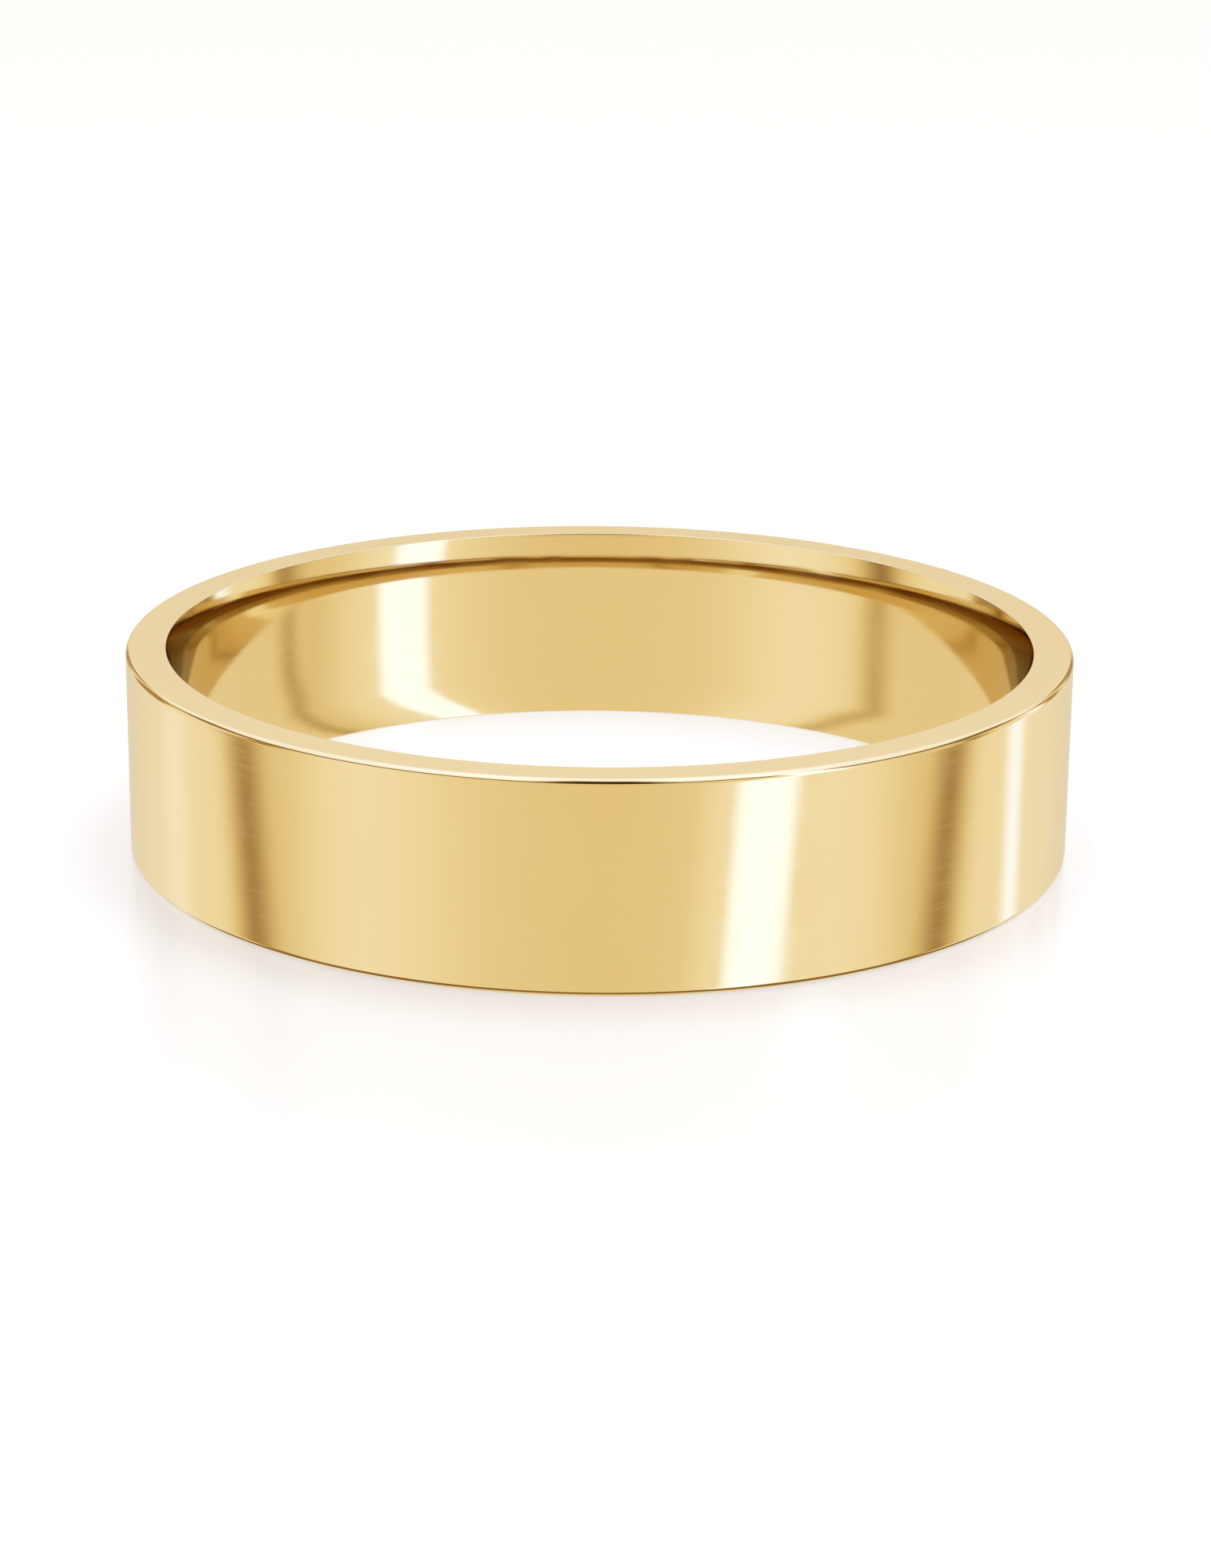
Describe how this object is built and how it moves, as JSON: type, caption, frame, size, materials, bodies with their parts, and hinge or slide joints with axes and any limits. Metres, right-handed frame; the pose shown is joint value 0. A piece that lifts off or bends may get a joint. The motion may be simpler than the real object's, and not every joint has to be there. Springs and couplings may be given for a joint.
{
  "type": "wedding band",
  "caption": "Plain flat wedding band in polished yellow gold, with a comfort-fit inside and softly eased edges.",
  "frame": {"origin": "centre of the finger hole, level with the side face that the band lies on", "axes": "+Z along the finger hole's axis, away from the resting side face; the band is round, so +X and +Y are any two square directions across it"},
  "size_m": [0.0184, 0.0184, 0.004],
  "materials": {
    "polished_gold": "polished"
  },
  "bodies": {
    "root": {"band": "polished_gold"}
  },
  "joints": []
}
